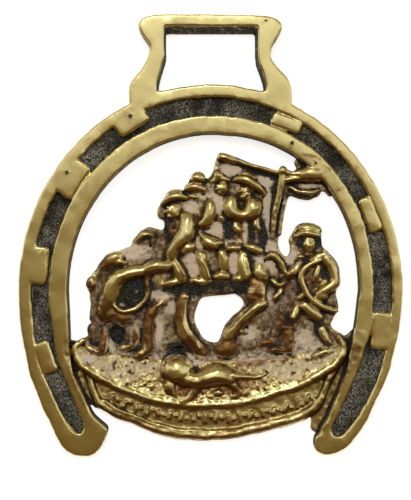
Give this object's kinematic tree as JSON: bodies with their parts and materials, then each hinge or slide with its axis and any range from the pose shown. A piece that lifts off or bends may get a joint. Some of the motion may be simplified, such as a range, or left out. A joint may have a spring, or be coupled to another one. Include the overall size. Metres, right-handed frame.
{
  "type": "horse brass",
  "caption": "Flat cast brass harness ornament: a horseshoe with a strap loop on top, pierced around a relief of riders on a horse, two men on foot and a dog.",
  "frame": {"origin": "on the flat back, at the centre of the brass's height and width", "axes": "+Z out of the relief face, +Y towards the strap loop, +X to the right as the face is seen"},
  "size_m": [0.0764, 0.088, 0.0043],
  "materials": {
    "cast_brass": "worn polish on the raised surfaces, dark grey-brown patina and pale polish residue in the recesses"
  },
  "bodies": {
    "root": {"brass_casting": "cast_brass"}
  },
  "joints": []
}
